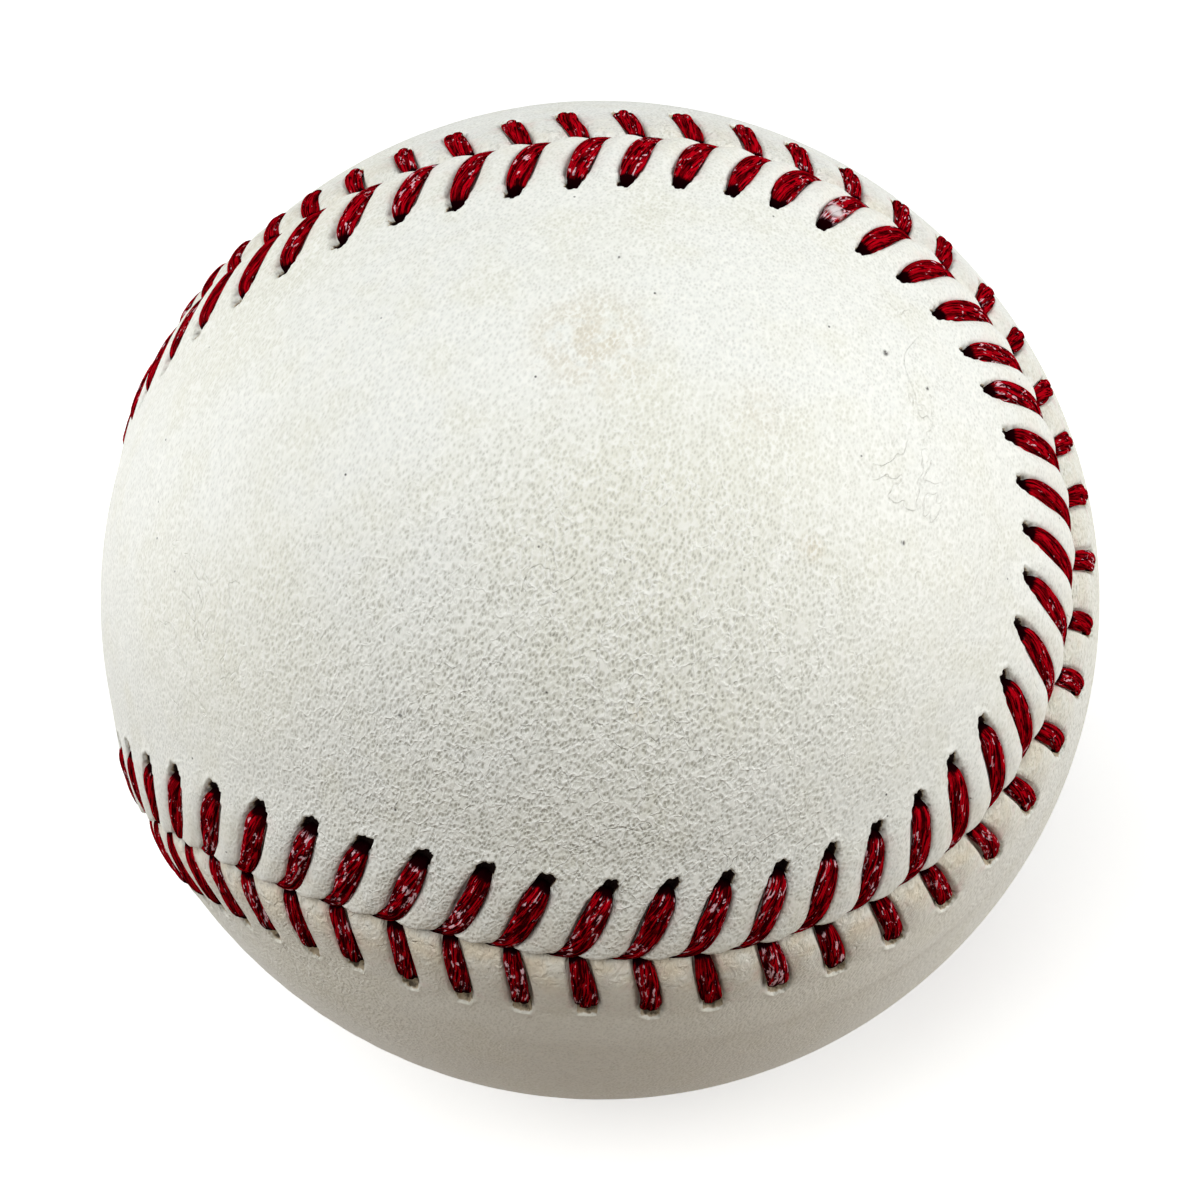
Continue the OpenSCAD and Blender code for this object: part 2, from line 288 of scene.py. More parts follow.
class Stitches:
    """Where both arms of each stitch run, with the small slips of a hand that sews them."""

    def __init__(self, cover, seam):
        rng = np.random.default_rng(SEWER_SEED)
        n = cover.stitch_count

        def errors(spread, limit):
            """The hand's errors in each side's stitches, none over the limit."""
            return {side: np.clip(rng.normal(0, spread, n), -limit, limit)
                    for side in (FRONT, BACK)}

        self.count = n
        self.row = {FRONT: cover.front_row, BACK: cover.back_row}
        start = {FRONT: cover.stitch_start, BACK: cover.stitch_start + cover.row_shift}
        even = np.arange(n) * seam.pitch
        self.slip = errors(cover.slip, 2 * cover.slip)
        reach, width = errors(*HAND["reach"]), errors(*HAND["width"])
        self.lift = errors(*HAND["lift"])
        self.phase = {side: rng.uniform(0, 1, n) for side in (FRONT, BACK)}
        self.bow = errors(*HAND["bow"])
        # The hand drifts in and out three times on its way round the seam
        drift = cover.drift * np.cos(6 * math.pi * (even - DRIFT_START) / seam.length)
        self.hole, self.reach, self.width = {}, {}, {}
        for side, slip_column, reach_column in ((FRONT, 2, 4), (BACK, 3, 5)):
            self.hole[side] = start[side] + even
            self.slip[side] = self.slip[side] + strays(np.arange(n), slip_column, n)
            stray = strays(np.arange(n), reach_column, n)
            self.reach[side] = 1 + drift + reach[side] + stray / self.row[side]
            self.width[side] = 1 + width[side]

    def run(self, side, t, bow=0):
        """How far an arm's middle line has run on along the seam from its hole, where t is
        the distance from the seam over the row's distance: a straight lead, a slight bow,
        and on the front a curl that grows towards the seam as an exponential."""
        arch = np.sin(np.pi * np.clip(t, 0, 1))
        if side == FRONT:
            return (FRONT_LEAD * (1 - t) + FRONT_CURL * np.exp(-np.clip(t, 0, 2) / CURL_SHARE)
                    + bow * arch)
        return BACK_LEAD * (1 - t) + (bow - BACK_BOW) * arch

    def lean(self, side, t):
        """The share of a step along the seam that crosses an arm squarely at t."""
        near = 0.01
        slope = (self.run(side, t + near) - self.run(side, t)) / near / self.row[side]
        return 1 / np.sqrt(1 + slope ** 2)

    def half_width(self, side, t, arm_width):
        """Half the width of an arm at t, from its table of shares."""
        return arm_width / 2 * np.interp(t, *np.array(WIDTH_SHARES[side]).T)


def smooth(x):
    """A smooth step: 0 below 0, 1 above 1, and a cubic between."""
    x = np.clip(x, 0, 1)
    return x * x * (3 - 2 * x)


# Meshes

THREAD_UV_LENGTH = 10 * MM


def make_mesh(name, points, faces, attributes=None, loops_uv=None):
    """A smooth-shaded object at the origin, with its place in its mesh."""
    mesh = bpy.data.meshes.new(name)
    faces = np.asarray(faces, dtype=np.int32)
    corners = faces.shape[1]
    mesh.vertices.add(len(points))
    mesh.vertices.foreach_set("co", np.asarray(points, dtype=np.float32).ravel())
    mesh.loops.add(faces.size)
    mesh.loops.foreach_set("vertex_index", faces.ravel())
    mesh.polygons.add(len(faces))
    mesh.polygons.foreach_set("loop_start", np.arange(0, faces.size, corners, dtype=np.int32))
    mesh.polygons.foreach_set("use_smooth", np.ones(len(faces), dtype=bool))
    if loops_uv is not None:
        layer = mesh.uv_layers.new(name="along_thread")
        layer.data.foreach_set("uv", np.asarray(loops_uv, dtype=np.float32).ravel())
    for key, values in (attributes or {}).items():
        made = mesh.attributes.new(key, "FLOAT", "POINT")
        made.data.foreach_set("value", np.asarray(values, dtype=np.float32))
    mesh.update(calc_edges=True)
    mesh.validate()
    piece = bpy.data.objects.new(name, mesh)
    bpy.context.scene.collection.objects.link(piece)
    return piece


def finish_piece(piece, material, slot_name, *nodes):
    """Puts a piece on the ball's body, in the place of its CAD nodes."""
    piece.data.materials.append(material)
    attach(piece, "root")
    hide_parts(*nodes)


# The leather panels

COLUMNS_PER_STITCH = 20
COLUMN_CROWDING = 0.5
EDGE_CROWDING = 0.15
BAND_WIDTH = 9 * MM
STRAIGHT_PAST_ROW = 0.9 * MM
LIP_RADIUS = 0.4 * MM
BED_DEPTH = 0.5 * MM
BED_HALF = 7.5 * MM
BED_SLOPE = 0.5 * MM
# The panel's cut edge: its depth, how far it leans away from the seam at its foot, where the
# inside takes over from it, and the least height of edge under a groove
EDGE_DEPTH = 0.78 * MM
EDGE_LEAN = 0.05 * MM
EDGE_TO_INSIDE = 0.25 * MM
EDGE_LEAST = 0.04 * MM
# A band's rows: how far past a hole they stay close, and the distances from the seam of the
# finger's middle and of the lip. Then how many rows lie in each stretch, from the band's inner
# edge to the seam
ROWS_PAST_HOLE = 0.35 * MM
MIDDLE_ROWS = 1.3 * MM
LIP_ROWS = 0.35 * MM
ROW_COUNTS = (4, 15, 6, 5, 4)
SPINE_END = math.radians(96)
OUTER_FAN_ROWS = 14
INNER_FAN_ROWS = 6
# Heights of the fingers over the row's distance from the seam, as shares of the puff
PUFF_SHARES = {
    FRONT: [(0, 0.95), (0.1, 1.05), (0.35, 1.05), (0.7, 0.75), (1, 0.3), (1.25, 0.05),
            (1.5, 0)],
    BACK: [(0, -2.3), (0.03, -1.2), (0.06, -0.5), (0.16, 0.25), (0.3, 0.75), (0.5, 0.9),
           (0.8, 0.6), (0.97, 0.3), (1.12, 0.02), (1.5, 0)]}
# Where a hole's middle lies, as a share of the row's distance, how much of the full depth it
# has, how it narrows outwards, and the size of the three and the seven tears round it
HOLE_PLACES = {FRONT: 0.895, BACK: 1.0}
HOLE_DEPTH_SHARES = {FRONT: 1.0, BACK: 0.75}
HOLE_TAPER = 0.05
WIDE_TEAR = 0.05
NARROW_TEAR = 0.07
# A hole's wall and its raised rim: where they start or stand and how wide they are, as shares
# of the hole's half size
HOLE_WALL, HOLE_WALL_WIDTH = 0.86, 0.24
RIM_MIDDLE, RIM_WIDTH = 1.26, 0.2
# Where the groove gives way to the hole and where the rim begins, as shares of the row's
# distance inside the hole's middle and widths
GROOVE_END, GROOVE_END_WIDTH = 0.05, 0.12
RIM_BEGIN_WIDTH = 0.08
# Where a stitch's groove starts inside the stitch's edge, and how wide its side slopes
GROOVE_START = 0.13 * MM
GROOVE_SLOPE = 0.23 * MM
CROWN_SHARE = 0.18
# The stretch from one arm to the next in which a finger's tip reaches over the seam: how far
# before the arm it is counted from, where the tip rises and how far on it is full, where it falls
# and how far on it is gone, and how far from the seam it is felt
TIP_BEFORE = 0.8 * MM
TIP_RISE, TIP_RISE_RUN = 0.9 * MM, 1.2 * MM
TIP_FALL, TIP_FALL_RUN = 2.5 * MM, 0.6 * MM
TIP_REACH = 1.1 * MM
TIP_SHARE = 0.35
BACK_OVERHANG = -0.1 * MM
DYE_REACH = 0.4 * MM
# Painted shade beside the thread: where it starts and how far it fades
GROOVE_SHADE_START, GROOVE_SHADE_WIDTH = 0.01 * MM, 0.07 * MM


def neck_angle(side):
    """The seam's angle where it runs past a panel's neck."""
    return math.pi / 2 if side == FRONT else 3 * math.pi / 2


def spine_way(u, side):
    """Unit way to the panel's middle line from each place on its rim: the line runs over the
    panel's pole from lobe to lobe, and a signed square of the half angle's sine says how far
    along it a place on the rim looks."""
    q = np.sin((u - neck_angle(side)) / 2)
    a = (SPINE_END * q * np.abs(q))[..., None]
    pole = np.array([-side, 0.0, 0.0])
    lobe = np.array([0.0, 1.0, -side]) / math.sqrt(2)
    return np.cos(a) * pole + np.sin(a) * lobe


def band_distances(hole_middle, hole_length):
    """Distances from the seam of a panel's rows, close together at the holes and the lip."""
    past = hole_length / 2 + ROWS_PAST_HOLE
    stops = [BAND_WIDTH, hole_middle + past, hole_middle - past, MIDDLE_ROWS, LIP_ROWS, 0]
    parts = [np.linspace(a, b, n, endpoint=False)
             for a, b, n in zip(stops[:-1], stops[1:], ROW_COUNTS)]
    return np.concatenate(parts + [[0]])


class Band:
    """The outside of a panel beside the seam, as columns that follow the stitches' arms and
    rows that follow the holes. Columns crowd about the arms by two sines. Both ease to even
    places at the band's inner edge."""

    def __init__(self, seam, stitches, cover, side):
        self.side = side
        self.hole_length = cover.front_hole if side == FRONT else cover.back_hole
        self.per = COLUMNS_PER_STITCH
        self.count = self.per * stitches.count
        self.pitch = seam.pitch
        self.row = stitches.row[side]
        i = np.arange(self.count)
        q = (i % self.per) / self.per
        self.q = np.where(q > 0.5, q - 1, q)
        # A column's own stitch, where the first columns belong to the last stitch
        self.k = (np.round(i / self.per - 1e-6).astype(int) - 1) % stitches.count
        even_d = band_distances(HOLE_PLACES[side] * self.row, self.hole_length)[:, None]
        crowd = (EDGE_CROWDING / 2 * np.sin(4 * math.pi * self.q)
                 - COLUMN_CROWDING * np.sin(2 * math.pi * self.q)) / (2 * math.pi) * seam.pitch
        run = stitches.run(side, np.minimum(even_d / self.row, 1),
                           self.eased(stitches.bow[side])[None, :])
        start = stitches.hole[side][0] - seam.pitch + self.eased(stitches.slip[side])
        past = even_d - self.row - STRAIGHT_PAST_ROW
        hold = 1 - smooth(past / (BAND_WIDTH - self.row - STRAIGHT_PAST_ROW))
        self.s = i * seam.length / self.count + hold * (start + run + crowd)
        self.w = self.q * seam.pitch + crowd
        self.reach = self.eased(stitches.reach[side])
        self.width = self.eased(stitches.width[side])
        self.d = even_d * (1 + (self.reach - 1) * hold)

    def eased(self, values):
        """A stitch's value carried from arm to arm by a smooth step."""
        ahead = values[(self.k + np.sign(self.q).astype(int)) % len(values)]
        return values[self.k] + (ahead - values[self.k]) * smooth(np.abs(self.q))


def hole_shape(band, stitches, cover, t):
    """How far a place is inside a punched hole, from 0 to 1, and on its raised rim: a blunt
    oval from a sum of cubes, a little narrower away from the seam, torn by sines round it."""
    side = band.side
    along = (t - HOLE_PLACES[side]) * band.row / (band.hole_length / 2)
    narrow = 1 - HOLE_TAPER * np.clip(along, -1, 1)
    across = band.w[None, :] / (cover.hole_width / 2) / narrow
    turn = np.arctan2(across, along)
    phase = 2 * math.pi * stitches.phase[side][band.k][None, :]
    torn = WIDE_TEAR * np.sin(3 * turn + phase) + NARROW_TEAR * np.sin(7 * turn + 3 * phase)
    reach = (np.abs(along) ** 3 + np.abs(across) ** 3) ** (1 / 3) + torn
    return (1 - smooth((reach - HOLE_WALL) / HOLE_WALL_WIDTH),
            np.exp(-((reach - RIM_MIDDLE) / RIM_WIDTH) ** 2))


def leather_shape(band, stitches, cover, arm_width):
    """Distance from the seam and height over the plain ball for every place in a band, with
    its marks: depth in a hole, nearness to the thread's side, and rubbed-off dye. A finger's
    height is its profile times a crown across it. A groove the width of the thread is pressed
    between fingers. The lip is a quarter circle, pushed out over the seam at each finger's
    tip."""
    side, row = band.side, band.row
    t = band.d / row / band.reach
    profile = cover.puff * np.interp(t, *np.array(PUFF_SHARES[side]).T)
    half = stitches.half_width(side, t, arm_width) * band.width
    across = np.abs(band.w) * stitches.lean(side, t)
    in_row = 1 - smooth((t - HOLE_PLACES[side] + GROOVE_END) / GROOVE_END_WIDTH)
    pressed = (1 - smooth((across - half + GROOVE_START) / GROOVE_SLOPE)) * in_row
    arch = np.cos(math.pi * np.clip((across - half) / MM - 1, -1, 1))
    crown = 1 - CROWN_SHARE + CROWN_SHARE * arch
    ground = profile * crown
    h = ground - pressed * (np.maximum(ground, 0) + cover.groove)

    hole, rim = hole_shape(band, stitches, cover, t)
    outer = smooth((t - HOLE_PLACES[side]) / RIM_BEGIN_WIDTH)
    h = h * (1 - hole) - cover.hole_depth * HOLE_DEPTH_SHARES[side] * hole
    h = h + cover.hole_rim * rim * outer

    lip = np.clip(1 - band.d / LIP_RADIUS, 0, 1)
    if side == FRONT:
        h = h - LIP_RADIUS * (1 - np.sqrt(1 - lip ** 2))
    h = np.maximum(h, EDGE_LEAST - EDGE_DEPTH)
    ahead = np.mod(band.w + TIP_BEFORE, band.pitch) - TIP_BEFORE
    rise = smooth((ahead - TIP_RISE) / TIP_RISE_RUN)
    tip = rise * (1 - smooth((ahead - TIP_FALL) / TIP_FALL_RUN))
    near = 1 - smooth(band.d / TIP_REACH)
    over = cover.overhang * (tip - TIP_SHARE) if side == FRONT else BACK_OVERHANG
    beside = np.abs(across - half)
    # The mark beside the thread's side is painted shade
    marks = {"hole": hole,
             "groove_shade": in_row * (1 - smooth((beside - GROOVE_SHADE_START) / GROOVE_SHADE_WIDTH)),
             "dye": in_row * np.exp(-np.clip(across - half, 0, None) / DYE_REACH)}
    return band.d - near * over, h, marks


class Skin:
    """A closed skin that grows row by row. Each row is a ring of points with marks that its
    material reads, and a row has as many columns as the one before, twice as many or half."""

    def __init__(self, seam, side):
        self.seam, self.side = seam, side
        self.points, self.rows = [], []
        self.marks = {"hole": [], "groove_shade": [], "dye": [], "seam": []}
        self.total = 0

    def add_ring(self, points, d, **marks):
        """One row of points, all at distance d from the seam, with its marks or none."""
        n = len(points)
        self.points.append(points)
        marks["seam"] = d / BAND_WIDTH
        for key, rings in self.marks.items():
            rings.append(np.broadcast_to(marks.get(key, 0), n))
        self.rows.append(np.arange(self.total, self.total + n))
        self.total += n

    def add_even(self, count, d, h):
        """One row of evenly placed columns at distance d and height h."""
        s = np.arange(count) * self.seam.length / count
        full = np.full(count, 1.0)
        self.add_ring(self.seam.place(s, self.side * d * full, h * full), d)

    def add_fan(self, count, steps, rim_d, radius, inwards):
        """Rows between the rim and the panel's middle line, each a blend of the two ways
        scaled back to the ball. The two sides share the middle line's points."""
        s = np.arange(count) * self.seam.length / count
        rim = self.seam.axes_at(s, np.full(count, self.side * rim_d))[0]
        spine = spine_way(self.seam.angle_at(s), self.side)
        mirror = (3 if self.side == FRONT else 1) * count // 4
        shared = np.minimum(np.arange(count), (mirror - np.arange(count)) % count)
        order = range(1, steps + 1) if inwards else range(steps, 0, -1)
        for step in order:
            way = unit(rim * (1 - step / steps) + spine * step / steps)
            self.add_ring(way * radius, BAND_WIDTH)
            if step == steps:
                self.rows[-1] = self.rows[-1][shared]

    def piece(self, name):
        """The skin as an object, its rows joined by strips of triangles."""
        faces = np.concatenate([strip(a, b) for a, b in zip(self.rows[:-1], self.rows[1:])])
        real = ((faces[:, 0] != faces[:, 1]) & (faces[:, 1] != faces[:, 2])
                & (faces[:, 2] != faces[:, 0]))
        faces = faces[real] if self.side == FRONT else faces[real][:, ::-1]
        used = np.unique(faces)
        renumber = np.zeros(self.total, dtype=int)
        renumber[used] = np.arange(len(used))
        marks = {key: np.concatenate(rings)[used] for key, rings in self.marks.items()}
        return make_mesh(name, np.concatenate(self.points)[used], renumber[faces], marks)


def strip(a, b):
    """Triangles between two closed rows of points."""
    if len(a) == len(b):
        a2, b2 = np.roll(a, -1), np.roll(b, -1)
        return np.concatenate([np.stack([a, a2, b2], 1), np.stack([a, b2, b], 1)])
    if len(a) < len(b):
        return strip(b, a)[:, ::-1]
    even, odd, after = a[0::2], a[1::2], np.roll(a, -2)[0::2]
    b2 = np.roll(b, -1)
    return np.concatenate([np.stack([even, odd, b], 1), np.stack([odd, b2, b], 1),
                           np.stack([odd, after, b2], 1)])


def build_panel(seam, stitches, cover, arm_width, side):
    """One figure-eight panel. Its rows run from the middle line over the outside to the seam,
    down the cut edge, and back along the inside, past the thread's bed, to the middle line."""
    skin = Skin(seam, side)
    band = Band(seam, stitches, cover, side)
    full, half, quarter = band.count, band.count // 2, band.count // 4
    inside = LEATHER_INSIDE - seam.radius
    skin.add_fan(quarter, OUTER_FAN_ROWS, BAND_WIDTH + MM, seam.radius, False)
    skin.add_even(quarter, BAND_WIDTH + MM, 0)
    skin.add_even(half, BAND_WIDTH + MM / 2, 0)
    d, h, marks = leather_shape(band, stitches, cover, arm_width)
    for j in range(len(band.d)):
        here = {key: values[j] for key, values in marks.items()}
        skin.add_ring(seam.place(band.s[j], side * d[j], h[j]), band.d[j], **here)
    edge_d = np.full(full, EDGE_LEAN)
    skin.add_ring(seam.place(band.s[-1], side * edge_d, np.full(full, -EDGE_DEPTH)), 0)
    skin.add_even(half, EDGE_TO_INSIDE, inside + BED_DEPTH)
    skin.add_even(quarter, BED_HALF - BED_SLOPE, inside + BED_DEPTH)
    skin.add_even(quarter, BED_HALF, inside)
    skin.add_even(quarter, BAND_WIDTH, inside)
    skin.add_fan(quarter, INNER_FAN_ROWS, BAND_WIDTH, LEATHER_INSIDE, True)
    return skin.piece("leather_front" if side == FRONT else "leather_back")


# The thread

RING_POINTS_PER_PLY = 6
VALLEY_SHARPNESS = 2.5
# How a stitch's thread runs: its station, its distance from the seam over the row's, its run
# along the tail, its height, and shares of the arm's width and thickness. Below the leather
# the shares are those of the drawn thread.
COURSES = {
    FRONT: [
        (0.00, 0.855, 0.00, -0.97, 0.50, 0.45), (0.05, 0.86, 0.00, -0.64, 0.58, 0.58),
        (0.10, 0.845, 0.00, -0.33, 0.70, 0.76), (0.15, 0.81, 0.00, -0.08, 0.80, 0.88),
        (0.22, 0.745, 0.00, 0.08, 0.88, 0.96), (0.40, 0.58, 0.00, 0.15, 0.98, 1.00),
        (0.58, 0.37, 0.00, 0.16, 0.98, 1.00), (0.72, 0.20, 0.00, 0.14, 0.88, 0.96),
        (0.80, 0.10, 0.00, 0.07, 0.76, 0.85), (0.86, 0.035, 0.10, -0.03, 0.62, 0.70),
        (0.91, 0.00, 0.70, -0.16, 0.46, 0.54), (0.96, -0.015, 1.45, -0.32, 0.30, 0.40),
        (1.00, -0.02, 2.00, -0.62, 0.20, 0.30)],
    BACK: [
        (0.00, 0.90, 0.00, -0.97, 0.50, 0.45), (0.06, 0.94, 0.00, -0.62, 0.62, 0.52),
        (0.11, 0.935, 0.00, -0.30, 0.76, 0.66), (0.16, 0.905, 0.00, -0.08, 0.86, 0.82),
        (0.24, 0.84, 0.00, 0.08, 0.90, 0.95), (0.50, 0.59, 0.00, 0.15, 0.90, 1.00),
        (0.75, 0.29, 0.00, 0.12, 0.86, 0.96), (0.84, 0.16, 0.00, 0.00, 0.80, 0.85),
        (0.92, 0.07, 0.00, -0.26, 0.68, 0.70), (1.00, 0.00, 0.00, -0.62, 0.52, 0.50)]}
# An arm's share of painted shade where it goes into its hole, from one stop to the next
DARK_ENDS = {FRONT: [(0.76, 0), (0.87, 0.28)], BACK: [(0.75, 0), (0.9, 0.24)]}
BED_HEIGHT = -0.97 * MM
BED_STEP = 0.05 * MM
ARM_STATIONS = 24
# The height in millimetres under which an arm runs steeply
STEEP_BELOW = -0.2


def eased_course(course):
    """A course's columns at even stations, drawn through its chosen ones and rounded by two
    passes of a three-point mean."""
    table = np.array(course).T
    stations = np.linspace(0, 1, ARM_STATIONS)
    columns = []
    for column in table[1:]:
        values = np.interp(stations, table[0], column)
        for _ in range(2):
            values[1:-1] = (values[:-2] + 2 * values[1:-1] + values[2:]) / 4
        columns.append(values)
    return columns


def thread_path(seam, stitches, thread, first):
    """Points, cross-section ways, half widths, half thicknesses, turns and painted hole shade of
    one needle's half of the thread. It takes a front and a back arm by turns: up through a hole,
    over the leather, down in the seam, and along the bed to the next hole."""
    arms = {side: eased_course(course) for side, course in COURSES.items()}
    bed = np.array([0, 0, BED_HEIGHT, thread.tight_width / 2, thread.tight_thickness / 2, 1])
    rows = []
    for k in range(stitches.count):
        side = first if k % 2 == 0 else -first
        t, tail, h, wide, thick = arms[side]
        hole = stitches.hole[side][k] + stitches.slip[side][k]
        s = hole + stitches.run(side, np.clip(t, 0, 1), stitches.bow[side][k]) + tail * MM
        d = side * t * stitches.row[side] * stitches.reach[side][k]
        width = thread.arm_width * stitches.width[side][k]
        dark = np.interp(t, *np.array(DARK_ENDS[side]).T)
        arm = np.stack([s, d, h * MM + stitches.lift[side][k], wide * width / 2,
                        thick * thread.arm_thickness / 2, dark])
        bed[0] = s[-1] + BED_STEP
        # The way the arm heads over the leather, held over its steep ends
        heading = np.stack([np.gradient(s), np.gradient(d)])
        firm = np.flatnonzero(h > STEEP_BELOW)
        heading[:, :firm[0]] = heading[:, firm[:1]]
        heading[:, firm[-1]:] = heading[:, firm[-1:]]
        spin = stitches.phase[side][k] + thread.turns * np.linspace(0, 1, ARM_STATIONS + 1)
        flip = np.full(ARM_STATIONS + 1, 1 if k % 2 == 0 else -1)
        rows.append(np.vstack([np.column_stack([arm, bed]),
                               np.column_stack([heading, (0, -side)]), spin, flip]))
    s, d, h, wide, thick, dark, ahead, across, turn, flip = np.concatenate(rows, axis=1)
    out, along, aside = seam.axes_at(s, d)
    heading = unit(np.stack([ahead, across], 1))
    level = heading[:, :1] * along + heading[:, 1:] * aside
    points = out * (seam.radius + h)[:, None]
    wide_way = flip[:, None] * unit(np.cross(out, level))
    thick_way = unit(np.cross(unit(np.gradient(points, axis=0)), wide_way))
    return points, wide_way, thick_way, wide, thick, turn, dark


def build_thread(seam, stitches, thread, first):
    """One needle's half of the thread: an ellipse carried along the path, its rim drawn in
    between the plies. The plies turn about the path while the ellipse stays flat."""
    points, wide_way, thick_way, wide, thick, turn, dark = thread_path(seam, stitches, thread,
                                                                       first)
    ring = thread.plies * RING_POINTS_PER_PLY
    around = np.arange(ring) / ring
    place = around * thread.plies % 1
    lobe = 1 - thread.ply_depth * np.abs(2 * place - 1) ** VALLEY_SHARPNESS
    angle = 2 * math.pi * (around[None, :] + turn[:, None])
    x = wide[:, None] * lobe * np.cos(angle)
    y = thick[:, None] * lobe * np.sin(angle)
    rings = (points[:, None] + x[..., None] * wide_way[:, None]
             + y[..., None] * thick_way[:, None])
    n = len(points)
    a = np.arange(n - 1)[:, None] * ring + np.arange(ring)
    b = np.arange(n - 1)[:, None] * ring + (np.arange(ring) + 1) % ring
    faces = np.stack([a, b, b + ring, a + ring], -1).reshape(-1, 4)
    gone = np.concatenate([[0], np.cumsum(np.linalg.norm(np.diff(points, axis=0), axis=1))])
    u0, u1 = gone[:-1, None] / THREAD_UV_LENGTH, gone[1:, None] / THREAD_UV_LENGTH
    v0, v1 = around, around + 1 / ring
    corners = [np.stack(np.broadcast_arrays(u, v), -1)
               for u, v in ((u0, v0), (u0, v1), (u1, v1), (u1, v0))]
    uv = np.stack(corners, -2).reshape(-1, 2)
    valley = np.broadcast_to((1 - lobe)[None, :] / thread.ply_depth, (n, ring))
    # Painted shade: the thread darkens with its depth under the leather and at its hole ends
    depth = (seam.radius - np.linalg.norm(points, axis=1)) / MM
    sunk = np.repeat(np.clip(np.maximum(depth, dark), 0, 1), ring)
    marks = {"valley": valley.ravel(), "sunk": sunk}
    # Each end is closed by a row of quads from one side of its ring to the other
    i = np.arange(ring // 2 - 1)
    cap = np.stack([i, ring - 1 - i, ring - 2 - i, i + 1], 1)
    faces = np.concatenate([faces, cap, cap[:, ::-1] + (n - 1) * ring])
    uv = np.concatenate([uv, np.zeros((cap.size * 2, 2))])
    return make_mesh("thread_first" if first == FRONT else "thread_second",
                     rings.reshape(-1, 3), faces, marks, uv)


# Materials

def add_node(tree, kind, inputs=(), out=0, **settings):
    """One shader node with its settings and links, given as one of its outputs. Its inputs
    come in order or by key, and each is a value, or a socket to link."""
    node = tree.nodes.new("ShaderNode" + kind)
    for key, value in settings.items():
        setattr(node, key, value)
    for key, value in inputs.items() if isinstance(inputs, dict) else enumerate(inputs):
        if isinstance(value, bpy.types.NodeSocket):
            tree.links.new(value, node.inputs[key])
        else:
            node.inputs[key].default_value = value
    return node.outputs[out] if len(node.outputs) else node


def empty_tree(owner):
    """The cleared node tree of a new material or world."""
    owner.use_nodes = True
    owner.node_tree.nodes.clear()
    return owner.node_tree


def new_finish(name, settings):
    """A material that holds its shader and output, with the tree, the shader's inputs and the
    ball's own coordinates."""
    material = bpy.data.materials.new(name)
    tree = empty_tree(material)
    surface = add_node(tree, "BsdfPrincipled", settings)
    add_node(tree, "OutputMaterial", {"Surface": surface})
    return material, tree, surface.node.inputs, add_node(tree, "TexCoord", out="Object")


def per(millimetres):
    """The scale of a texture whose features are that many millimetres apart."""
    return 1 / (millimetres * MM)


def product_of(tree, *parts):
    """The product of its parts. A part is a value, or a ramp, which carries one smoothly from
    low to high and holds it beyond: (value, low, high), with its ends if not 0 and 1."""
    product = None
    for part in parts:
        if isinstance(part, tuple):
            part = add_node(tree, "MapRange", part if len(part) > 3 else part + (0, 1),
                            interpolation_type="SMOOTHSTEP")
        if product is None:
            product = part
        else:
            product = add_node(tree, "Math", (product, part), operation="MULTIPLY")
    return product


def sum_of(tree, start, *parts):
    """A start with other values added, each by its weight."""
    for value, weight in parts:
        start = add_node(tree, "Math", (value, weight, start), operation="MULTIPLY_ADD")
    return start


def coated(tree, ground, *coats):
    """A ground colour under coats, each an amount and a colour."""
    for amount, over in coats:
        ground = add_node(tree, "Mix", {0: amount, 6: ground, 7: list(over)}, 2,
                          data_type="RGBA")
    return ground


def raise_surface(tree, shader, *heights):
    """Bump over bump, each a height of 0 to 1 and the millimetres that it stands for."""
    normal = {}
    for height, millimetres in heights:
        normal["Normal"] = add_node(tree, "Bump", {
            "Height": height, "Distance": millimetres * MM, "Strength": 1.0, **normal})
    tree.links.new(normal["Normal"], shader["Normal"])


def spot(tree, place, centre, near, far):
    """1 near a place on the ball, fading to 0 farther off. All are in millimetres."""
    away = add_node(tree, "VectorMath", (place, [c * MM for c in centre]), "Value",
                    operation="DISTANCE")
    return product_of(tree, (away, near * MM, far * MM, 1, 0))


# The lie of the hair on the hide, and how long its pores are drawn that way
HAIR_LEAN = (math.radians(-35.6), math.radians(29.4), 0)
HAIR_STRETCH_SHARES = (1, 1, 1.8)
PORE_GAP = 0.2
FIELD_SIZE = 0.8
SPECK_GAP = 1.7
# How far the hair's lie swirls, in millimetres, for the pores and for the finest grain
SWIRLS = (0.2, 0.8)
# The leather's noises: what their features follow, their size in millimetres, their detail,
# roughness and distortion
LEATHER_NOISES = {
    "coarse": ("place", 30, 2, 0.5, 0), "ridges": ("bent", 0.7, 2, 0.5, 0),
    "wrinkles": ("bent", 1.6, 2, 0.5, 0), "fine": ("wavy", 0.3, 3, 0.6, 0),
    "creases": ("place", 9, 4, 0.6, 0.6), "creased": ("place", 14, 2, 0.5, 0),
    "patches": ("place", 22, 2, 0.5, 0), "mottles": ("place", 4, 3, 0.5, 0),
    "stains": ("place", 1.2, 3, 0.5, 0), "warmth": ("place", 1.8, 3, 0.5, 0),
    "rubbing": ("place", 1.4, 3, 0.5, 0), "tears": ("place", 0.25, 2, 0.5, 0),
    "filling": ("place", 0.5, 3, 0.5, 0), "drawn": ("bent", 0.55, 4, 0.65, 0.8),
    "swell": ("place", 5, 2, 0.5, 0)}
# The middles of the coarser grain on the front panel, where the hide is also darkened as
# painted shade, and of its yellower hide, and of the stretch of the seam where painted shade
# darkens the thread and warms the back panel's hide
COARSE_SHADED_PLACE = (3.3, -35.4, 10.3)
YELLOW_PLACE = (-0.5, -20.0, 31.0)
LOW_SHADE_PLACE = (4.3, -36.8, 0.1)
